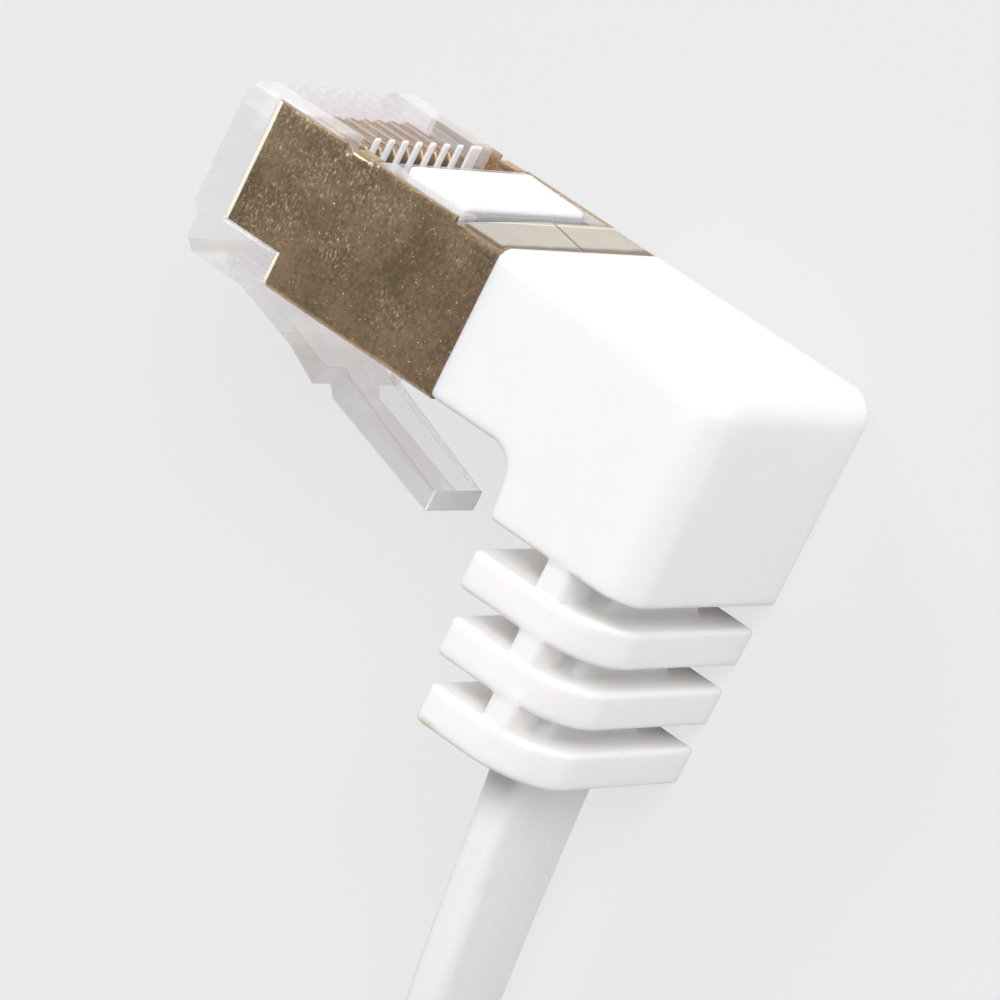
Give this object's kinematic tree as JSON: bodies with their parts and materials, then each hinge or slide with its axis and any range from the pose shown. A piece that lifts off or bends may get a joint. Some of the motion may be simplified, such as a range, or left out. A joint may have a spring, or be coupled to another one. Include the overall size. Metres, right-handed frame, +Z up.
{
  "type": "ethernet patch cable",
  "caption": "Flat network patch cable with shielded modular plugs, spring latches and angled ribbed boots, put away as a tied coil.",
  "frame": {"origin": "under the middle of the near plug's box, on the table it lies on", "axes": "+X the way the near plug goes into its jack, +Y from its contact face towards its latch, +Z up, across the plug"},
  "size_m": [0.0968, 0.0867, 0.0118],
  "materials": {
    "clear_plastic": "clear polished polycarbonate",
    "gold_shield": "thin gold plating on sheet metal, fine mottling",
    "gold_contact": "gold plated contact edge",
    "white_pad": "smooth white plastic",
    "inner_mould": "plain moulded filler",
    "white_boot": "satin white moulded vinyl",
    "white_jacket": "satin white extruded jacket",
    "tie": "plastic coated wire",
    "wire_1": "solid coloured insulation",
    "wire_2": "solid coloured insulation",
    "wire_3": "solid coloured insulation",
    "wire_4": "solid coloured insulation",
    "wire_5": "solid coloured insulation",
    "wire_6": "solid coloured insulation",
    "wire_7": "solid coloured insulation",
    "wire_8": "solid coloured insulation"
  },
  "bodies": {
    "patch_cable": {"near_housing": "clear_plastic", "near_shield": "gold_shield", "near_clamp_pad": "white_pad", "near_inner_mould": "inner_mould", "near_boot": "white_boot", "near_contact_1": "gold_contact", "near_contact_2": "gold_contact", "near_contact_3": "gold_contact", "near_contact_4": "gold_contact", "near_contact_5": "gold_contact", "near_contact_6": "gold_contact", "near_contact_7": "gold_contact", "near_contact_8": "gold_contact", "near_wire_1": "wire_1", "near_wire_2": "wire_2", "near_wire_3": "wire_3", "near_wire_4": "wire_4", "near_wire_5": "wire_5", "near_wire_6": "wire_6", "near_wire_7": "wire_7", "near_wire_8": "wire_8", "far_housing": "clear_plastic", "far_shield": "gold_shield", "far_clamp_pad": "white_pad", "far_inner_mould": "inner_mould", "far_boot": "white_boot", "far_contact_1": "gold_contact", "far_contact_2": "gold_contact", "far_contact_3": "gold_contact", "far_contact_4": "gold_contact", "far_contact_5": "gold_contact", "far_contact_6": "gold_contact", "far_contact_7": "gold_contact", "far_contact_8": "gold_contact", "far_wire_1": "wire_1", "far_wire_2": "wire_2", "far_wire_3": "wire_3", "far_wire_4": "wire_4", "far_wire_5": "wire_5", "far_wire_6": "wire_6", "far_wire_7": "wire_7", "far_wire_8": "wire_8", "cable_lead": "white_jacket", "cable_coil": "white_jacket", "cable_tail": "white_jacket", "tie_1": "tie", "tie_2": "tie"},
    "near_latch_arm": {"near_latch": "clear_plastic"},
    "far_latch_arm": {"far_latch": "clear_plastic"}
  },
  "joints": [
    {"name": "near_latch_press", "type": "hinge", "parent": "patch_cable", "child": "near_latch_arm", "pos_m": [0.01102, -0.00116, 0.00589], "axis": [0, 0, 1], "range_deg": [0, 17], "stiffness_Nm_per_rad": 0.05},
    {"name": "far_latch_press", "type": "hinge", "parent": "patch_cable", "child": "far_latch_arm", "pos_m": [-0.06377, 0.04494, 0.00589], "axis": [0, 0, 1], "range_deg": [0, 17], "stiffness_Nm_per_rad": 0.05}
  ]
}
